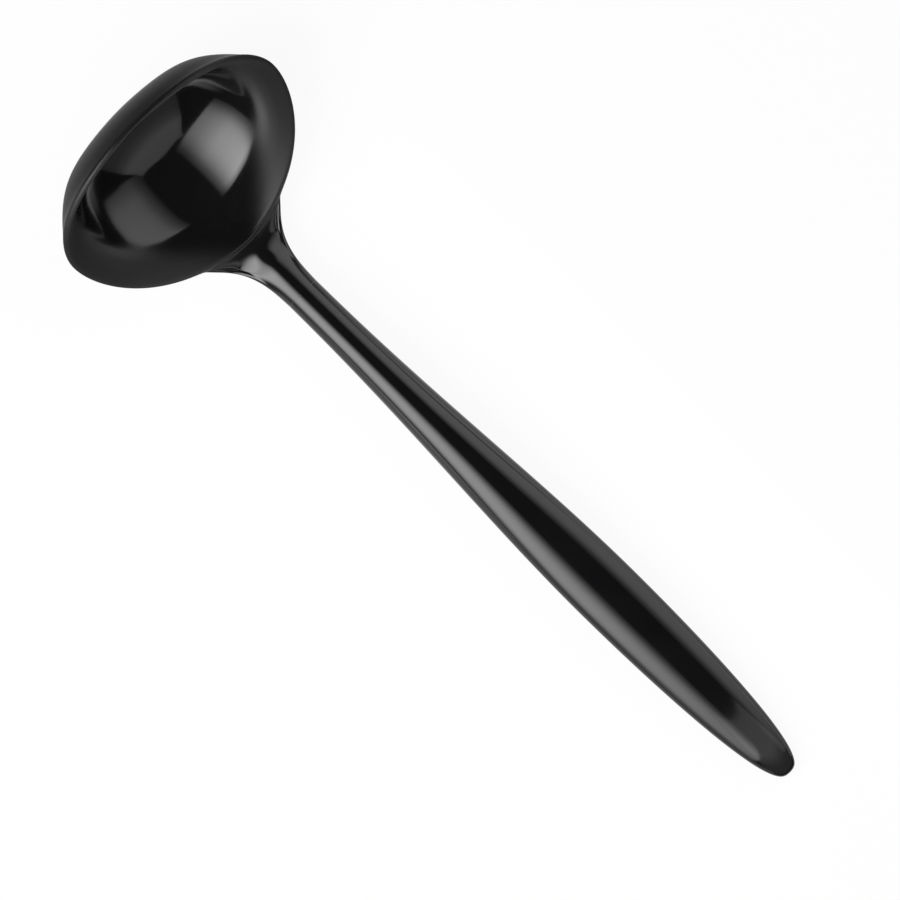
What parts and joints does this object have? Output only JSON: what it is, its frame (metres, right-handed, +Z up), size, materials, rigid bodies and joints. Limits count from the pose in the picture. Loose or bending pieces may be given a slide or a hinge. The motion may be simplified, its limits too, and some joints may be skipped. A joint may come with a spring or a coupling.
{
  "type": "serving ladle",
  "caption": "Glossy black serving ladle with a deep oval bowl, flared pouring lips at its sides and a slim neck that swells into a long tapered grip.",
  "frame": {"origin": "centre of the bounding box's base, on the surface that the ladle lies on", "axes": "+X along the handle from the bowl to the tip of the grip, +Z up out of the bowl's mouth, +Y across the pouring lips"},
  "size_m": [0.294, 0.0888, 0.0415],
  "materials": {
    "black_gloss": "gloss"
  },
  "bodies": {
    "root": {"bowl": "black_gloss", "handle": "black_gloss"}
  },
  "joints": []
}
